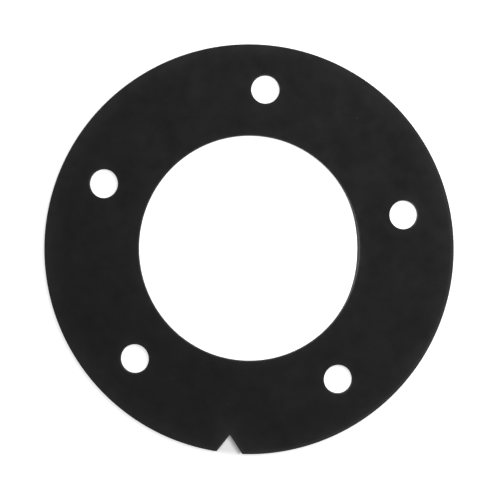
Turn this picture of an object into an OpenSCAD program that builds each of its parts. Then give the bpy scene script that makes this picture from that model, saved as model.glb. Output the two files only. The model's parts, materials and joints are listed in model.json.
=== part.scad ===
// Flat gasket for the flange of a fuel tank sending unit, cut by a steel-rule die from one sheet of rubber.
// It lies on z = 0 with its bore on the Z axis, its first screw hole on +Y and its notch on -Y.
// The die comes down from +Z: it rolls the top edges over a little and leaves the bottom edges sharp.

/* [Sheet] */
// Thickness of the rubber sheet
sheet_t = 1.6; // [0.8:0.1:5]
// Diameter of the outside edge
outer_d = 69.85; // [66:0.05:90]

/* [Bore] */
// Diameter of the bore that the sending unit hangs through
bore_d = 38.1; // [20:0.1:44]

/* [Screw holes] */
// Diameter of the circle through the centres of the screw holes
hole_circle_d = 54; // [50:0.1:58]
// Diameter of each screw hole
hole_d = 4.9; // [3:0.1:6]
// Angle from the first screw hole to the holes next to it
near_angle = 72; // [55:0.5:85]
// Angle from the first screw hole to the holes beside the notch
far_angle = 140; // [120:0.5:155]

/* [Notch] */
// Depth of the notch, from the outside edge to its root
notch_depth = 3.05; // [1.5:0.05:5]
// Width between the sides of the notch, where they reach the outside edge
notch_w = 4.4; // [2.5:0.1:8]
// Radius of the root of the notch
notch_root_r = 0.15; // [0.05:0.05:0.6]
// Radius of the two corners where the notch opens into the outside edge
notch_corner_r = 0.3; // [0.1:0.05:1]

/* [Edges] */
// Radius that the die rolls onto the top edges of the outside, the bore and the holes
edge_roll = 0.2; // [0.05:0.05:0.5]

/* [Hidden] */
$fn = 180;
// How far a cutter runs past the face that it opens
over = 1;
// Straight steps in each small arc of the notch
arc_steps = 8;

outer_r = outer_d / 2;
hole_angles = [0, near_angle, far_angle, -far_angle, -near_angle];

// The point at a distance from the origin, in a direction counted from +X
function polar(distance, angle) = distance * [cos(angle), sin(angle)];

// Points along an arc, from one direction to another
function arc(centre, radius, from, to) =
    [for (i = [0:arc_steps]) centre + polar(radius, from + (to - from) * i / arc_steps)];

// The notch's +X side in plan: a straight line that touches the root's arc and reaches the outside edge
root_centre = [0, notch_depth - outer_r - notch_root_r];
side_end = [notch_w / 2, -sqrt(outer_r ^ 2 - (notch_w / 2) ^ 2)];
root_to_end = side_end - root_centre;
// Direction square to that side, from the open notch into the rubber
side_angle = atan2(root_to_end.y, root_to_end.x) + acos(notch_root_r / norm(root_to_end));
side_normal = polar(1, side_angle);
side_along = polar(1, side_angle - 90);

// The corner's arc touches the side, and the outside edge from within
corner_inset = root_centre * side_normal + notch_root_r + notch_corner_r;
corner_run = sqrt((outer_r - notch_corner_r) ^ 2 - corner_inset ^ 2);
corner_centre = corner_inset * side_normal + corner_run * side_along;
corner_angle = atan2(corner_centre.y, corner_centre.x);

// Half of the notch's outline, from the middle of its root to beyond the outside edge
half_notch = concat(
    arc(root_centre, notch_root_r, 90, side_angle),
    arc(corner_centre, notch_corner_r, side_angle - 180, corner_angle),
    [polar(outer_r + over, corner_angle)]
);

// What the roll takes off a square edge at the origin, with rubber towards -X and -Y
module roll_off() {
    translate([-edge_roll, -edge_roll])
        difference() {
            square(edge_roll + over);
            circle(edge_roll);
        }
}

// The sheet's round outside, with its top edge rolled
module disc() {
    difference() {
        cylinder(d = outer_d, h = sheet_t);
        rotate_extrude()
            translate([outer_r, sheet_t])
                roll_off();
    }
}

// What the die takes out for a round hole, with its top edge rolled
module round_cut(diameter) {
    translate([0, 0, -over])
        cylinder(d = diameter, h = sheet_t + 2 * over);
    rotate_extrude()
        translate([diameter / 2, sheet_t])
            mirror([1, 0])
                roll_off();
}

// What the die takes out at the five holes for the flange's screws
module screw_hole_cuts() {
    for (angle = hole_angles)
        rotate([0, 0, angle])
            translate([0, hole_circle_d / 2, 0])
                round_cut(hole_d);
}

// What the die takes out for the notch that shows which way round the gasket goes
module notch_cut() {
    other_half = [for (i = [len(half_notch) - 1:-1:1]) [-half_notch[i].x, half_notch[i].y]];
    translate([0, 0, -over])
        linear_extrude(sheet_t + 2 * over)
            polygon(concat(half_notch, other_half));
}

// The whole gasket, one piece of rubber
module gasket() {
    color("#242424")
        difference() {
            disc();
            round_cut(bore_d);
            screw_hole_cuts();
            notch_cut();
        }
}

gasket();
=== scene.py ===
# %% [markdown]
# # The gasket of a fuel tank's sending unit
# On the bench this is one flat ring of black rubber, about 70 mm across and 1.6 mm thick. A die of bent
# steel blades cuts it from a sheet in one stroke: the outside with its notch, the wide bore and the five
# screw holes. The packed model holds its true size, so it is loaded first and never changed. What follows
# is laid over it, in metres and in the same frame: the ring lies on z = 0, its bore around the Z axis.

# %% Load the packed model
import json
import math

import bmesh
import bpy
import numpy as np
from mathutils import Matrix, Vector


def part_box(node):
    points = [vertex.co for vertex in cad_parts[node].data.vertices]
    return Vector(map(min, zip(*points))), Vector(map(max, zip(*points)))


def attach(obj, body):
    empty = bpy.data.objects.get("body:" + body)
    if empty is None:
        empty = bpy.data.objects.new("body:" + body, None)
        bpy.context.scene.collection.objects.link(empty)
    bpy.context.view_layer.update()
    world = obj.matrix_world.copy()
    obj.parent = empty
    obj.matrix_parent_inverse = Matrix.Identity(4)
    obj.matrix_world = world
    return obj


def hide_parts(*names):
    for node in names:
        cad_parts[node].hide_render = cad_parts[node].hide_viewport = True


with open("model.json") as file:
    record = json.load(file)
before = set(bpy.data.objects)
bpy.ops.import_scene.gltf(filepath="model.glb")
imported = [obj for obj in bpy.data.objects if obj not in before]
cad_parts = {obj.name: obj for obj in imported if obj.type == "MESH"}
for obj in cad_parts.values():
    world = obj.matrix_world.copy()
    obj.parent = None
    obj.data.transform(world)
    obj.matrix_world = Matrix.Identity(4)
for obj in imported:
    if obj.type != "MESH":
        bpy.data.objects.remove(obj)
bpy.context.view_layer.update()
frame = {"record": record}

MM = 0.001

# %% [markdown]
# ## Sizes
# A looks script can repeat the sizes of the solid, or read them from it. Reading is safer, because the
# looks then follow when a size changes. The record lists the bore and the screw holes as mounts, and the
# node's box gives the outside and the thickness. The notch and the roll that the die leaves on the top
# edges are no mounts, so they are named here, at their real sizes.

# %% Read the sizes
mounts = {mount["name"]: mount for mount in frame["record"]["mounts"]}
screw_holes = [mount for name, mount in mounts.items() if name.startswith("screw_hole")]
sheet_low, sheet_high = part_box("gasket")
sheet_t = sheet_high.z - sheet_low.z
outer_r = sheet_high.y
bore_r = mounts["sender_bore"]["dims"]["r_mm"] * MM
hole_r = screw_holes[0]["dims"]["r_mm"] * MM
hole_centres = np.array([hole["pos_m"][:2] for hole in screw_holes])

notch_depth = 3.05 * MM
notch_w = 4.4 * MM
notch_root_r = 0.15 * MM
notch_corner_r = 0.3 * MM
edge_roll = 0.2 * MM
print(len(screw_holes), "screw holes of radius", hole_r / MM, "mm in a sheet of", sheet_t / MM, "mm")

# %% [markdown]
# ## Camera
# The ring is seen from straight above, turned a little clockwise. A long lens from some distance keeps the
# walls of the bore and the holes almost out of sight, as an eye far above would. One pixel's real size
# fixes the distance: the picture's width on the ring, times the focal length, over the sensor's width.

# %% Set the camera
picture_px = 500
pixel_size = 0.1703 * MM
ring_middle_px = (249.02, 247.93)
ring_turn = math.radians(5.9)
focal_mm = 120
sensor_mm = 36

to_the_right = np.array([math.cos(ring_turn), math.sin(ring_turn)])
upwards = np.array([-math.sin(ring_turn), math.cos(ring_turn)])
off_middle = (picture_px / 2 - np.array(ring_middle_px)) * pixel_size
camera_place = off_middle[0] * to_the_right - off_middle[1] * upwards
camera_height = sheet_t + picture_px * pixel_size * focal_mm / sensor_mm

lens = bpy.data.cameras.new("camera")
lens.lens = focal_mm
lens.sensor_width = sensor_mm
camera = bpy.data.objects.new("camera", lens)
camera.location = (*camera_place, camera_height)
camera.rotation_euler = (0, 0, ring_turn)
bpy.context.scene.collection.objects.link(camera)
bpy.context.scene.camera = camera
print("the camera stands", round(camera_height / MM), "mm above the table")

# %% [markdown]
# ## The die's line
# The rim is a circle but for the notch, which shows which way round the gasket goes. Its line could be
# drawn as points by hand, but the blade that cut it was bent from straight and round stretches, so it is
# worked out in the same way: an arc at the root, a straight side, and an arc at the corner that runs into
# the rim without a kink. Beside each point stands the direction into the rubber, because the edge's profile
# is carried along it.

# %% Draw one side of the notch
root_steps = 6
side_steps = 12
corner_steps = 8


def unit(angle):
    """The cosine and the sine of angles in radians, counted from +X: unit vectors."""
    return np.stack([np.cos(angle), np.sin(angle)], axis=-1)


def notch_side():
    """The side of the notch towards +X, from the middle of its root to the rim, as points and directions.

    The straight side touches the root's circle, and aims at the point of the rim half the notch's width
    from its middle. The corner's circle touches that side and, from within, the rim: its centre lies one
    radius beyond the side, on a circle smaller than the rim by one radius. The direction into the rubber
    points away from the root's centre, square to the side, and towards the corner's centre.
    """
    root_centre = np.array([0.0, notch_depth - outer_r - notch_root_r])
    aim = np.array([notch_w / 2, -math.sqrt(outer_r ** 2 - (notch_w / 2) ** 2)]) - root_centre
    side_angle = math.atan2(aim[1], aim[0]) + math.acos(notch_root_r / np.linalg.norm(aim))
    beyond = root_centre @ unit(side_angle) + notch_root_r + notch_corner_r
    along = math.sqrt((outer_r - notch_corner_r) ** 2 - beyond ** 2)
    corner_centre = beyond * unit(side_angle) + along * unit(side_angle - math.pi / 2)

    root = unit(np.linspace(math.pi / 2, side_angle, root_steps + 1))
    corner_angle = math.atan2(corner_centre[1], corner_centre[0])
    corner = unit(np.linspace(side_angle - math.pi, corner_angle, corner_steps + 1))
    root_points = root_centre + notch_root_r * root
    corner_points = corner_centre + notch_corner_r * corner
    share = np.linspace(0, 1, side_steps + 1)[1:-1, None]
    side_points = root_points[-1] + share * (corner_points[0] - root_points[-1])
    side = np.broadcast_to(root[-1], side_points.shape)
    points = np.concatenate([root_points, side_points, corner_points])
    return points, np.concatenate([root, side, -corner])


notch_points, notch_inward = notch_side()
print("half of the notch has", len(notch_points), "points, up to", notch_points[-1].round(5) / MM, "mm")

# %% [markdown]
# ## Five sectors
# A flat ring with holes has no single grid that covers it. Cut halfway between neighbouring holes, it falls
# into five sectors with one hole each, and each sector is a grid of its own: rays that leave the hole all
# round, crossed by rings that turn from the hole's circle into the sector's outline. The cut between the
# two lowest holes runs through the notch's root, so that each of their sectors has one side of the notch.

# %% Cut the ring into sectors
cell = 0.45 * MM


def spoke(angle):
    """Unit vectors at angles in degrees, counted anticlockwise from the first hole on +Y.

    Each is minus the sine and the cosine of its angle.
    """
    turn = np.radians(angle)
    return np.stack([-np.sin(turn), np.cos(turn)], axis=-1)


def arc_angles(radius, start, end):
    """Angles from start to end, about one cell apart on a circle of that radius."""
    steps = math.ceil(radius * math.radians(end - start) / cell)
    return np.linspace(start, end, steps + 1)


hole_angles = np.degrees(np.arctan2(-hole_centres[:, 0], hole_centres[:, 1])) % 360
hole_centres = hole_centres[np.argsort(hole_angles)]
hole_angles = np.sort(hole_angles)
sector_ends = (hole_angles + np.append(hole_angles[1:], hole_angles[0] + 360)) / 2
sector_starts = np.append(sector_ends[-1] - 360, sector_ends[:-1])
print("the sectors meet at", sector_ends.round(2), "degrees")

# %% Outline a sector
notch_angle = 180.0


def rim_line(start, end):
    """The rim from one cut to the next: an arc, and a side of the notch where a cut is at its root."""
    notch_half = math.degrees(math.atan2(notch_points[-1, 0], -notch_points[-1, 1]))
    after_notch = math.isclose(start, notch_angle)
    before_notch = math.isclose(end, notch_angle)
    angles = arc_angles(outer_r, start + notch_half * after_notch, end - notch_half * before_notch)
    points, inward = outer_r * spoke(angles), -spoke(angles)
    if after_notch:
        points = np.concatenate([notch_points, points[1:]])
        inward = np.concatenate([notch_inward, inward[1:]])
    if before_notch:
        points = np.concatenate([points[:-1], notch_points[::-1] * (-1, 1)])
        inward = np.concatenate([inward[:-1], notch_inward[::-1] * (-1, 1)])
    return points, inward


def sector_outline(start, end, inset):
    """A sector's closed outline, moved by the inset away from the cuts.

    It runs along the bore, straight out, back along the rim and straight in.
    """
    bore = (bore_r + inset) * spoke(arc_angles(bore_r, start, end))
    rim_points, rim_inward = rim_line(start, end)
    rim = (rim_points + inset * rim_inward)[::-1]
    share = np.linspace(0, 1, math.ceil((outer_r - bore_r) / cell) + 1)[1:-1, None]
    outwards = bore[-1] + share * (rim[0] - bore[-1])
    inwards = rim[-1] + share * (bore[0] - rim[-1])
    return np.concatenate([bore, outwards, rim, inwards])


first_outline = sector_outline(sector_starts[0], sector_ends[0], 0)
print("the first sector's outline has", len(first_outline), "points")

# %% [markdown]
# ## The cut edge
# A blade that enters from above first drags the skin of the rubber down, then parts it: the top edge is
# left rolled, the wall a little hollow, and the bottom edge sharp. A Bevel modifier would round every edge
# alike. Here the edge is a profile, an inset and a height for each step, which is carried along the line of
# each cut.

# %% Shape the edge's profile
wall_steps = 7
roll_steps = 6
wall_hollow = 0.05 * MM


def edge_profile():
    """Inset and height up a cut edge.

    Up the wall, the inset is the hollow times the sine of half a turn. Over the roll, it is the roll's
    radius times one minus the cosine of a quarter turn, while the height gains the radius times the sine.
    """
    wall_h = sheet_t - edge_roll
    up = np.linspace(0, 1, wall_steps + 1)
    over = np.linspace(0, math.pi / 2, roll_steps + 1)[1:]
    inset = np.concatenate([wall_hollow * np.sin(math.pi * up), edge_roll * (1 - np.cos(over))])
    height = np.concatenate([wall_h * up, wall_h + edge_roll * np.sin(over)])
    return inset, height


def cut_wall(path, inward):
    """The profile carried along a path: its points, moved by each inset along their directions."""
    inset, height = edge_profile()
    plan = path + inset[:, None, None] * inward
    return np.concatenate([plan, np.broadcast_to(height[:, None, None], plan.shape[:2] + (1,))], axis=2)


print("the edge's profile has", len(edge_profile()[0]), "points up to", edge_profile()[1].max() / MM, "mm")

# %% [markdown]
# ## One closed skin
# Each sector gives a top face, a bottom face and the walls of its hole, its stretch of bore and its stretch
# of rim. The top takes small cells, because it carries the sheet's slight waves, and the bottom only needs
# a few. Neighbouring grids end on the same points, so welding those points closes the whole skin.

# %% Lay out the grids
top_steps = 36
bottom_steps = 6


def flat_face(inner, outline, height, steps):
    """A grid of shares of the way from the inner circle's points to the outline's, at one height."""
    share = np.linspace(0, 1, steps + 1)[:, None, None]
    plan = inner + share * (outline - inner)
    return np.concatenate([plan, np.full(plan.shape[:2] + (1,), height)], axis=2)


def sector_grids(centre, start, end):
    """The five grids of one sector, each with whether its rows close on themselves."""
    outline = sector_outline(start, end, 0)
    rays = (outline - centre) / np.linalg.norm(outline - centre, axis=1, keepdims=True)
    bore = spoke(arc_angles(bore_r, start, end))
    top_outline = sector_outline(start, end, edge_roll)
    return [
        (flat_face(centre + (hole_r + edge_roll) * rays, top_outline, sheet_t, top_steps), True),
        (flat_face(centre + hole_r * rays, outline, 0.0, bottom_steps), True),
        (cut_wall(centre + hole_r * rays, rays), True),
        (cut_wall(bore_r * bore, bore), False),
        (cut_wall(*rim_line(start, end)), False),
    ]


sectors = zip(hole_centres, sector_starts, sector_ends)
grids = [grid for sector in sectors for grid in sector_grids(*sector)]
print(len(grids), "grids, the finest with", max(grid.shape[1] for grid, closed in grids), "columns")

# %% Weld the grids
weld_gap = 0.001 * MM
cell_sides = 4


def cell_corners(grid, closed, first):
    """The four corner numbers of each cell of a grid whose points are numbered row by row from first."""
    rows, columns = grid.shape[:2]
    across = columns if closed else columns - 1
    row, column = np.meshgrid(np.arange(rows - 1), np.arange(across), indexing="ij")
    beside = (column + 1) % columns
    corners = [row * columns + column, row * columns + beside,
               (row + 1) * columns + beside, (row + 1) * columns + column]
    return first + np.stack(corners, axis=-1).reshape(-1, cell_sides)


def welded_skin(name, grids):
    """One mesh of all the grids, with coincident points merged and the faces turned outwards."""
    firsts = np.cumsum([0] + [grid.shape[0] * grid.shape[1] for grid, closed in grids])
    points = np.concatenate([grid.reshape(-1, 3) for grid, closed in grids])
    faces = np.concatenate([cell_corners(*each, first) for each, first in zip(grids, firsts)])
    mesh = bpy.data.meshes.new(name)
    mesh.from_pydata(points.tolist(), [], faces.tolist())
    skin = bmesh.new()
    skin.from_mesh(mesh)
    bmesh.ops.remove_doubles(skin, verts=skin.verts, dist=weld_gap)
    bmesh.ops.recalc_face_normals(skin, faces=skin.faces)
    open_edges = sum(not edge.is_manifold for edge in skin.edges)
    skin.to_mesh(mesh)
    skin.free()
    print(name, "has", len(mesh.vertices), "points,", len(mesh.polygons), "faces and", open_edges, "gaps")
    return mesh


rubber_mesh = welded_skin("rubber_gasket", grids)

# %% [markdown]
# ## Where the edges are
# Rubber shows its age first along its edges, so the finish needs to know how far each point is from a cut.
# Pointiness or a painted mask could stand in for that. The distances are known exactly here, so they are
# kept on the mesh as attributes: from the rim and its notch, and from any cut. A third one says how much a
# spot belongs to a cut wall. It is kept for each corner of each face, because a point of the bottom edge is
# shared by a wall and the underside.

# %% Measure the distance from the cuts
flat = np.empty(3 * len(rubber_mesh.vertices))
rubber_mesh.vertices.foreach_get("co", flat)
flat = flat.reshape(-1, 3)


def rim_distance(plan):
    """The smaller of the way out to the rim's circle and the way to the nearest point of the notch."""
    notch = np.concatenate([notch_points, notch_points * (-1, 1)])
    to_notch = np.linalg.norm(plan[:, None] - notch, axis=2).min(axis=1)
    return np.minimum(outer_r - np.linalg.norm(plan, axis=1), to_notch)


def cut_distance(plan):
    """The smallest of the ways to the rim, the bore and the nearest screw hole."""
    to_bore = np.linalg.norm(plan, axis=1) - bore_r
    to_holes = np.linalg.norm(plan[:, None] - hole_centres, axis=2).min(axis=1) - hole_r
    return np.minimum(rim_distance(plan), np.minimum(to_bore, to_holes))


from_rim = rim_distance(flat[:, :2])
from_cut = cut_distance(flat[:, :2])
print("points lie up to", round(from_cut.max() / MM, 2), "mm from a cut")

# %% Keep the distances on the mesh


def wall_share():
    """The share of the way down the roll at each corner of each face, and none on the underside."""
    corner_points = np.empty(len(rubber_mesh.loops), np.int32)
    rubber_mesh.loops.foreach_get("vertex_index", corner_points)
    below_top = np.clip((sheet_t - flat[corner_points, 2]) / edge_roll, 0, 1)
    face_heights = flat[corner_points, 2].reshape(-1, cell_sides).max(axis=1)
    return below_top * np.repeat(face_heights > 0, cell_sides)


def keep_on_mesh(name, domain, values):
    """Stores one number for each point, or for each corner of each face."""
    kept = rubber_mesh.attributes.new(name, "FLOAT", domain)
    kept.data.foreach_set("value", values.astype(np.float32))


keep_on_mesh("from_rim_mm", "POINT", from_rim / MM)
keep_on_mesh("from_cut_mm", "POINT", from_cut / MM)
keep_on_mesh("cut_wall", "CORNER", wall_share())
print("the mesh keeps", [kept.name for kept in rubber_mesh.attributes if kept.data_type == "FLOAT"])

# %% [markdown]
# ## How the sheet settles
# A drawing's ring is perfectly flat and round. Rubber gives way under the blades and springs back when they
# leave: the bore of this one came out slightly oval and off its place, its wall slopes on one side, where
# the die leaned, the holes are a hair narrow and three of them a hair too far out, the rim lies a hair low
# of them, the notch slants, and the sheet has long, shallow waves from its rolling. A lattice could bend it
# by eye. Here each of these is a smooth move of the points, worked out from where each lies, so that the
# skin stays closed.

# %% Work out the bore's moves
bore_oval = 0.18 * MM
oval_angle = ring_turn + math.radians(90)
bore_shift = 0.08 * MM
shift_angle = ring_turn - math.radians(33)
bore_lean = 0.42 * MM
lean_angle = ring_turn
lean_power = 10
fade_power = 4


def bore_moves(radius, angle, depth):
    """How far points around the bore move away from the middle.

    The oval is the cosine of twice the angle from its long axis, and the shift the cosine of the angle from
    its side. The lean goes the other way: a power of the cosine of the angle from its side, times the share
    of the way down the sheet. All of it fades with a power of the way out from the bore.
    """
    oval = bore_oval * np.cos(2 * (angle - oval_angle))
    shift = bore_shift * np.cos(angle - shift_angle)
    lean = bore_lean * np.clip(np.cos(angle - lean_angle), 0, 1) ** lean_power * depth
    return (oval + shift - lean) * (bore_r / radius) ** fade_power


print("the bore is up to", round((bore_oval + bore_shift) / MM, 2), "mm off its circle")

# %% Work out the holes' moves
hole_circle_r = np.linalg.norm(hole_centres[0])
hole_creep = 0.15 * MM
creep_angle = math.radians(160)
creep_start = -0.5
creep_full = 0.3
creep_reach = 4.0 * MM


def smooth_step(share):
    """0 below 0 and 1 above 1, with three squares less two cubes of the share between them."""
    share = np.clip(share, 0, 1)
    return share ** 2 * (3 - 2 * share)


def hole_moves(radius, angle):
    """How far points around the holes on one side move away from the middle.

    A smooth step of the cosine of the angle from that side picks the holes. Past the edges of the holes, a
    smooth step of the way from their circle lets the move fade towards the bore and the rim.
    """
    side = smooth_step((np.cos(angle - creep_angle) - creep_start) / (creep_full - creep_start))
    past_holes = np.abs(radius - hole_circle_r) - hole_r
    return hole_creep * side * (1 - smooth_step(past_holes / creep_reach))


hole_directions = np.arctan2(hole_centres[:, 1], hole_centres[:, 0])
print("the holes move out by", (hole_moves(hole_circle_r, hole_directions) / MM).round(3), "mm")

# %% Work out how the holes close in
hole_squeeze = 0.06 * MM


def squeeze_moves(plan):
    """How far points around the holes move along X and Y, as each hole closes in from its left and right.

    Around a hole it is the squeeze times the cosine of the angle from the camera's right, and fades with a
    power of the way out from that hole. The moves of all holes are added up.
    """
    from_holes = plan[:, None] - hole_centres
    reach = np.linalg.norm(from_holes, axis=2)
    cosine = from_holes @ to_the_right / reach
    closed = hole_squeeze * (cosine * (hole_r / reach) ** fade_power).sum(axis=1, keepdims=True)
    return -closed * to_the_right


print("the holes are", round(2 * hole_squeeze / MM, 2), "mm narrower than they are tall")

# %% Work out the rim's moves
rim_drop = 0.21 * MM
margin_r = hole_circle_r + hole_r
root_r = outer_r - notch_depth
notch_slant = 0.24 * MM
slant_power = 60


def rim_moves(radius, outwards):
    """How far points around the rim and its notch move along X and Y.

    The drop sets in as a smooth step from the holes to the notch's root, and is the same beyond it. The
    slant goes along +X, by the share of the way from the notch's root to the rim, times a high power of the
    cosine of the angle from the notch.
    """
    drop = -rim_drop * smooth_step((radius - margin_r) / (root_r - margin_r)) * upwards
    beside = np.clip(-outwards[:, 1:], 0, 1) ** slant_power
    slant = notch_slant * np.clip((radius - root_r) / notch_depth, 0, 1) * beside * (1, 0)
    return drop + slant


print("the rim lies", rim_drop / MM, "mm low, and the notch slants by", notch_slant / MM, "mm")

# %% Let the sheet settle
wave_heights = np.array([0.020, 0.012, 0.006]) * MM
wave_lengths = np.array([31.0, 19.0, 12.0]) * MM
wave_angles = np.radians([20.0, 85.0, 140.0])
wave_starts = np.array([0.4, 2.1, 4.4])
sharp_angle = math.radians(40)


def waves(plan):
    """The sum of sines of the way along three directions, less its highest value."""
    phase = 2 * math.pi * (plan @ unit(wave_angles).T) / wave_lengths + wave_starts
    return (wave_heights * np.sin(phase)).sum(axis=1, keepdims=True) - wave_heights.sum()


def settled(points):
    """The points after the moves in plan, and raised by the waves times their share of the height."""
    plan, height = points[:, :2], points[:, 2:]
    radius = np.linalg.norm(plan, axis=1, keepdims=True)
    angle = np.arctan2(plan[:, 1:], plan[:, :1])
    outwards = plan / radius
    share = height / sheet_t
    away = bore_moves(radius, angle, 1 - share) + hole_moves(radius, angle)
    moved = plan + away * outwards + squeeze_moves(plan) + rim_moves(radius, outwards)
    return np.concatenate([moved, height + share * waves(plan)], axis=1)


rubber_mesh.vertices.foreach_set("co", settled(flat).ravel())
rubber_mesh.polygons.foreach_set("use_smooth", np.ones(len(rubber_mesh.polygons), bool))
rubber_mesh.set_sharp_from_angle(angle=sharp_angle)
rubber_mesh.update()
rubber_gasket = bpy.data.objects.new("rubber_gasket", rubber_mesh)
bpy.context.scene.collection.objects.link(rubber_gasket)
top_heights = settled(flat[flat[:, 2] == flat[:, 2].max()])[:, 2] / MM
print("the sheet's top lies between", top_heights.min().round(3), "and", top_heights.max().round(3), "mm")

# %% [markdown]
# ## Arithmetic for shaders
# A finish is sums and products of patterns. Wired by hand, each of them is a Math node and two links, and
# the sum is soon lost among them. This small class wraps one output of a node: Python's operators then add
# the Math nodes, and one method adds any other node, with its settings first and its sockets after.

# %% Wrap a socket
noise_middle = 0.5


class Wire:
    """One output of a node in a tree, on which arithmetic works."""

    def __init__(self, tree, output=None):
        self.tree = tree
        self.output = output

    def node(self, kind, settings=None, sockets=None, output=0):
        """Adds a node, sets it up, fills or links its sockets, and wraps one of its outputs."""
        made = self.tree.nodes.new(kind)
        for name, setting in (settings or {}).items():
            setattr(made, name, setting)
        for key, value in (sockets or {}).items():
            if isinstance(value, Wire):
                self.tree.links.new(value.output, made.inputs[key])
            else:
                made.inputs[key].default_value = value
        return Wire(self.tree, made.outputs[output] if len(made.outputs) else None)

    def also(self, name):
        """Another output of the same node."""
        return Wire(self.tree, self.output.node.outputs[name])

    def maths(self, operation, *values):
        """Adds a Math node on one or two values."""
        return self.node("ShaderNodeMath", {"operation": operation}, dict(enumerate(values)))

    def __add__(self, other):
        return self.maths("ADD", self, other)

    def __sub__(self, other):
        return self.maths("SUBTRACT", self, other)

    def __mul__(self, other):
        return self.maths("MULTIPLY", self, other)

    def __radd__(self, other):
        return self.maths("ADD", other, self)

    def __rsub__(self, other):
        return self.maths("SUBTRACT", other, self)

    def __rmul__(self, other):
        return self.maths("MULTIPLY", other, self)

    def eased(self, start, end):
        """0 at start and 1 at end, with a smooth step between them."""
        return self.node("ShaderNodeMapRange", {"interpolation_type": "SMOOTHSTEP"},
                         {"Value": self, "From Min": start, "From Max": end})

    def uneven(self, mean, spread, size, detail=2.0):
        """A mean, plus a spread times noise around zero whose clouds are about that size."""
        noise = self.node("ShaderNodeTexNoise", None,
                          {"Vector": self, "Scale": 1 / size, "Detail": detail})
        return mean + spread * (noise - noise_middle)


print("a wire has the methods", [name for name in vars(Wire) if not name.startswith("_")])

# %% [markdown]
# ## Black rubber
# Carbon black makes the sheet almost black all through. It isn't even, though: the mix leaves faint clouds
# a few millimetres across, wax blooms to the surface and greys it towards the rim, handling greys the cut
# edges, dust sticks to the walls, and a few grains of talc stay on the face. On one side the rim's rolled
# edge is also made lighter, a painted highlight where it catches the light. All of that is a share between
# two greys. Object coordinates in millimetres place the patterns, so that they stay on the rubber from any
# side.

# %% Place the patterns
# The side of the rim that gets a painted highlight, where its rolled edge would catch the light.
lit_side_angle = ring_turn - math.radians(30)
wall_squash = (1.0, 1.0, 0.04)


def attribute(tree, name):
    """One of the mesh's own numbers."""
    return tree.node("ShaderNodeAttribute", {"attribute_name": name}, None, "Fac")


def upright(place):
    """The place with its height pressed flat, so that a pattern on it runs straight up a wall."""
    return place.node("ShaderNodeVectorMath", {"operation": "MULTIPLY"},
                      {0: place, 1: wall_squash}, "Vector")


def lit_side(place):
    """0 up to the middle of the ring and 1 at the side of its painted highlight, by the way across towards
    that side.
    """
    across = place.node("ShaderNodeVectorMath", {"operation": "DOT_PRODUCT"},
                        {0: place, 1: (*unit(lit_side_angle), 0.0)}, "Value")
    return across.eased(0.0, outer_r / MM)


print("patterns on the walls are pressed to", wall_squash[2], "of their height")

# %% Scatter the talc
talc_gap_mm = 3.2
talc_grain = 0.11
talc_core = 0.03
talc_scarcity = 0.45


def talc(place):
    """Small grains in the middles of some Voronoi cells, which the cells' random colour picks."""
    grains = place.node("ShaderNodeTexVoronoi", None,
                        {"Vector": place, "Scale": 1 / talc_gap_mm}, "Distance")
    cell_colour = grains.also("Color")
    pick = cell_colour.node("ShaderNodeSeparateColor", None, {"Color": cell_colour})
    return grains.eased(talc_grain, talc_core) * pick.eased(talc_scarcity, 1.0)


print("the grains of talc are up to", round(2 * talc_grain * talc_gap_mm, 1), "mm wide")

# %% Mix the colour
deep_black = (0.0042, 0.0042, 0.0042, 1)
dusty_grey = (0.0300, 0.0300, 0.0300, 1)
bloom_width_mm = 4.2
wear_width_mm = 2.0
# The width of the painted highlight along one side of the rim, and how much of it the wall loses.
side_highlight_width_mm = 0.85
side_highlight_wall_loss = 0.7
arris_width_mm = 0.3
arris_core_mm = 0.1
talc_share = 0.22
fine_detail = 3.0


def rubber_share(tree, place, walls):
    """How far the colour goes from black to grey.

    The sheet's small clouds and wide drifts, plus bloom towards the rim, wear towards every cut and most on
    its arrises, a painted highlight along one side of the rim, dust in upright streaks on the walls, and
    talc.
    """
    from_rim = attribute(tree, "from_rim_mm")
    from_cut = attribute(tree, "from_cut_mm")
    clouds = place.uneven(mean=0.145, spread=0.21, size=1.9, detail=fine_detail)
    drifts = place.uneven(mean=0.0, spread=0.28, size=9.0)
    bloom = from_rim.eased(bloom_width_mm, 0.0) * place.uneven(mean=0.17, spread=0.34, size=3.5)
    wear = from_cut.eased(wear_width_mm, 0.0) * place.uneven(mean=0.12, spread=0.30, size=1.2)
    # Painted highlight: the rim's rolled edge is made lighter on one side, as where it catches the light,
    # and less so on the wall.
    on_lit_side = from_rim.eased(side_highlight_width_mm, 0.0) * lit_side(place)
    side_highlight = on_lit_side * (1 - side_highlight_wall_loss * walls) * place.uneven(mean=0.8, spread=0.5, size=1.5)
    on_arris = from_cut.eased(arris_width_mm, arris_core_mm) * (1 - walls)
    arris = on_arris * place.uneven(mean=0.40, spread=0.80, size=0.8)
    dust = walls * upright(place).uneven(mean=0.10, spread=0.50, size=0.35, detail=fine_detail)
    return clouds + drifts + bloom + wear + side_highlight + arris + dust + talc_share * talc(place)


print("the rubber's colour runs from", deep_black[:3], "to", dusty_grey[:3])

# %% [markdown]
# ## Grain
# The press that cures the sheet leaves a fine, even grain, which is what makes the face matt. The walls are
# different: the blade draws fine upright scratches down them and leaves them a little shinier. Noise that
# ignores height gives such scratches on any upright wall. Both are far too fine for the mesh, so they are a
# bump.

# %% Give it grain
grain_mm = 0.32
grain_depth = 0.05 * MM
dimple_mm = 1.1
scratch_mm = 0.09


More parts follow.
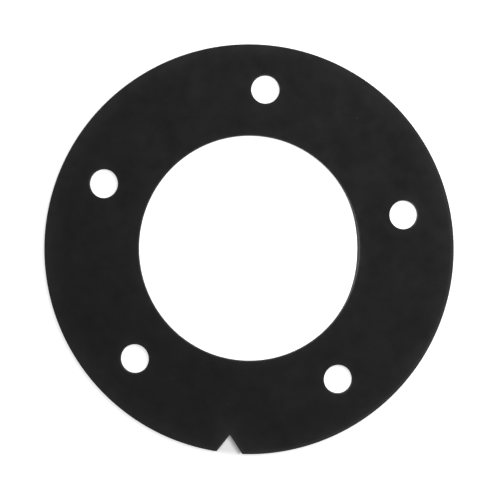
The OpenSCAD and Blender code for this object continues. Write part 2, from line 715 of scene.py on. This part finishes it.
def rubber_height(place, walls):
    """The bump's height: grain and soft dimples on the faces, and upright scratches on the walls."""
    grain = place.uneven(mean=0.0, spread=1.0, size=grain_mm, detail=fine_detail)
    dimples = place.uneven(mean=0.0, spread=0.8, size=dimple_mm)
    scratches = upright(place).uneven(mean=0.0, spread=1.6, size=scratch_mm, detail=fine_detail)
    return (1 - walls) * (grain + dimples) + walls * scratches


print("the grain is", grain_depth / MM, "mm deep")

# %% Make the material
wall_polish = 0.16
rubber_gloss = 0.16
rubber_sheen = 0.05
sheen_roughness = 0.45
# A Mix node's colours come after its numbers and vectors, so they go by their place in the row of sockets.
mix_share = 0
mix_from = 6
mix_to = 7
mixed_colour = 2


def black_rubber():
    """The sheet's finish: a Principled shader with the colour, roughness and bump that vary over it."""
    material = bpy.data.materials.new("black_rubber")
    material.use_nodes = True
    material.node_tree.nodes.clear()
    tree = Wire(material.node_tree)
    spot = tree.node("ShaderNodeTexCoord", None, None, "Object")
    place = spot.node("ShaderNodeVectorMath", {"operation": "SCALE"},
                      {"Vector": spot, "Scale": 1 / MM}, "Vector")
    walls = attribute(tree, "cut_wall")
    share = rubber_share(tree, place, walls)
    colour = tree.node("ShaderNodeMix", {"data_type": "RGBA"},
                       {mix_share: share, mix_from: deep_black, mix_to: dusty_grey}, mixed_colour)
    roughness = place.uneven(mean=0.74, spread=0.25, size=2.6) - wall_polish * walls
    bump = tree.node("ShaderNodeBump", None,
                     {"Height": rubber_height(place, walls), "Distance": grain_depth})
    shader = tree.node("ShaderNodeBsdfPrincipled", None,
                       {"Base Color": colour, "Roughness": roughness, "Normal": bump,
                        "Specular IOR Level": rubber_gloss, "Sheen Weight": rubber_sheen,
                        "Sheen Roughness": sheen_roughness})
    tree.node("ShaderNodeOutputMaterial", None, {"Surface": shader})
    return material


rubber_mesh.materials.append(black_rubber())
print("black rubber has", len(rubber_mesh.materials[0].node_tree.nodes), "nodes")

# %% [markdown]
# ## White table
# The ring lies on a white table. A table lit until it is white would also light up the rubber, so it is a
# pale one with a glow that shows only to the camera and in reflections: that makes it white in the picture,
# spreads no more light over the rubber, and keeps the ring's shadow. In the deep little notch the glow is
# low, so that the table shows its own tone and shade there.

# %% Let the table glow
glow_near = 0.74
glow_far = 0.95
glow_notch = 0.21
glow_rise_start = 2 * outer_r
glow_rise_end = 8 * outer_r
glow_mouth_start = outer_r - 0.5 * MM
glow_mouth_end = outer_r + 1.6 * MM
glow_patch_r = 2.45 * MM
glow_patch_fade = 0.35 * MM


def distance(spot, middle):
    """How far a spot of the table is from a middle, given as X and Y."""
    return spot.node("ShaderNodeVectorMath", {"operation": "DISTANCE"},
                     {0: spot, 1: (*middle, 0.0)}, "Value")


def table_glow(spot):
    """How strongly a spot of the table glows.

    It grows with the way out from the ring, as the lamp's light falls off, so the table is white
    throughout. It is low in a small patch around the notch's middle, and comes back as a smooth step of the
    way out across the notch's mouth.
    """
    rim_middle = -rim_drop * upwards
    from_ring = distance(spot, rim_middle)
    from_notch = distance(spot, rim_middle - (0, outer_r - notch_depth / 2))
    open_table = glow_near + (glow_far - glow_near) * from_ring.eased(glow_rise_start, glow_rise_end)
    patch = from_notch.eased(glow_patch_r + glow_patch_fade, glow_patch_r)
    within_mouth = from_ring.eased(glow_mouth_end, glow_mouth_start)
    return open_table + patch * within_mouth * (glow_notch - open_table)


print("the table glows by", glow_near, "near the ring and by", glow_notch, "in its notch")

# %% Lay the table
table_half = 3.0
table_drop = 0.02 * MM
table_white = (0.75, 0.75, 0.75, 1)


def white_table():
    """A pale diffuse surface, with a glow that only camera, glossy and transmission rays see."""
    material = bpy.data.materials.new("white_table")
    material.use_nodes = True
    material.node_tree.nodes.clear()
    tree = Wire(material.node_tree)
    camera_ray = tree.node("ShaderNodeLightPath", None, None, "Is Camera Ray")
    glossy_too = tree.maths("MAXIMUM", camera_ray, camera_ray.also("Is Glossy Ray"))
    seen = tree.maths("MAXIMUM", glossy_too, camera_ray.also("Is Transmission Ray"))
    spot = tree.node("ShaderNodeTexCoord", None, None, "Object")
    pale = tree.node("ShaderNodeBsdfDiffuse", None, {"Color": table_white})
    glow = tree.node("ShaderNodeEmission", None, {"Color": table_glow(spot) * seen})
    both = tree.node("ShaderNodeAddShader", None, {0: pale, 1: glow})
    tree.node("ShaderNodeOutputMaterial", None, {"Surface": both})
    return material


corners = table_half * np.array([[-1, -1, 0], [1, -1, 0], [1, 1, 0], [-1, 1, 0]]) - (0, 0, table_drop)
table_mesh = bpy.data.meshes.new("table")
table_mesh.from_pydata(corners.tolist(), [], [[0, 1, 2, 3]])
table_mesh.materials.append(white_table())
table = bpy.data.objects.new("table", table_mesh)
bpy.context.scene.collection.objects.link(table)
print("the table is", 2 * table_half, "m wide")

# %% [markdown]
# ## Lamp and room
# One soft lamp hangs close by, to the upper right, so the rubber is a little lighter on that side. A large
# lamp far away would light the ring evenly and lose that. White walls all round give the rest. Overhead it
# is dark, which keeps black rubber black when it is seen from above.

# %% Hang the lamp
lamp_distance = 0.155
lamp_azimuth = math.radians(40) + ring_turn
lamp_elevation = math.radians(72)
lamp_size = 0.08
lamp_watts = 0.20

toward_lamp = Vector((*(math.cos(lamp_elevation) * unit(lamp_azimuth)), math.sin(lamp_elevation)))
lamp_light = bpy.data.lights.new("soft_lamp", "AREA")
lamp_light.shape = "DISK"
lamp_light.size = lamp_size
lamp_light.energy = lamp_watts
soft_lamp = bpy.data.objects.new("soft_lamp", lamp_light)
soft_lamp.location = lamp_distance * toward_lamp
soft_lamp.rotation_mode = "QUATERNION"
soft_lamp.rotation_quaternion = toward_lamp.to_track_quat("Z", "Y")
soft_lamp.visible_camera = False
bpy.context.scene.collection.objects.link(soft_lamp)
print("the lamp hangs", round(soft_lamp.location.z / MM), "mm above the table")

# %% Put up white walls and a dark ceiling
wall_light = 1.0
ceiling_light = 0.04
wall_top = 0.25
ceiling_start = 0.60

world = bpy.data.worlds.new("studio")
world.use_nodes = True
world.node_tree.nodes.clear()
room = Wire(world.node_tree)
direction = room.node("ShaderNodeTexCoord", None, None, "Generated")
height = direction.node("ShaderNodeSeparateXYZ", None, {"Vector": direction}, "Z")
light = wall_light + (ceiling_light - wall_light) * height.eased(wall_top, ceiling_start)
surroundings = room.node("ShaderNodeBackground", None, {"Color": light})
room.node("ShaderNodeOutputWorld", None, {"Surface": surroundings})
bpy.context.scene.world = world
bpy.context.scene.view_settings.view_transform = "Standard"
print("the walls reach", round(math.degrees(math.asin(wall_top))), "degrees above the horizon")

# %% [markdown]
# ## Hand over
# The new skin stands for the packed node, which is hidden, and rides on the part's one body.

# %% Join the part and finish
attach(rubber_gasket, "root")
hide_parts("gasket")
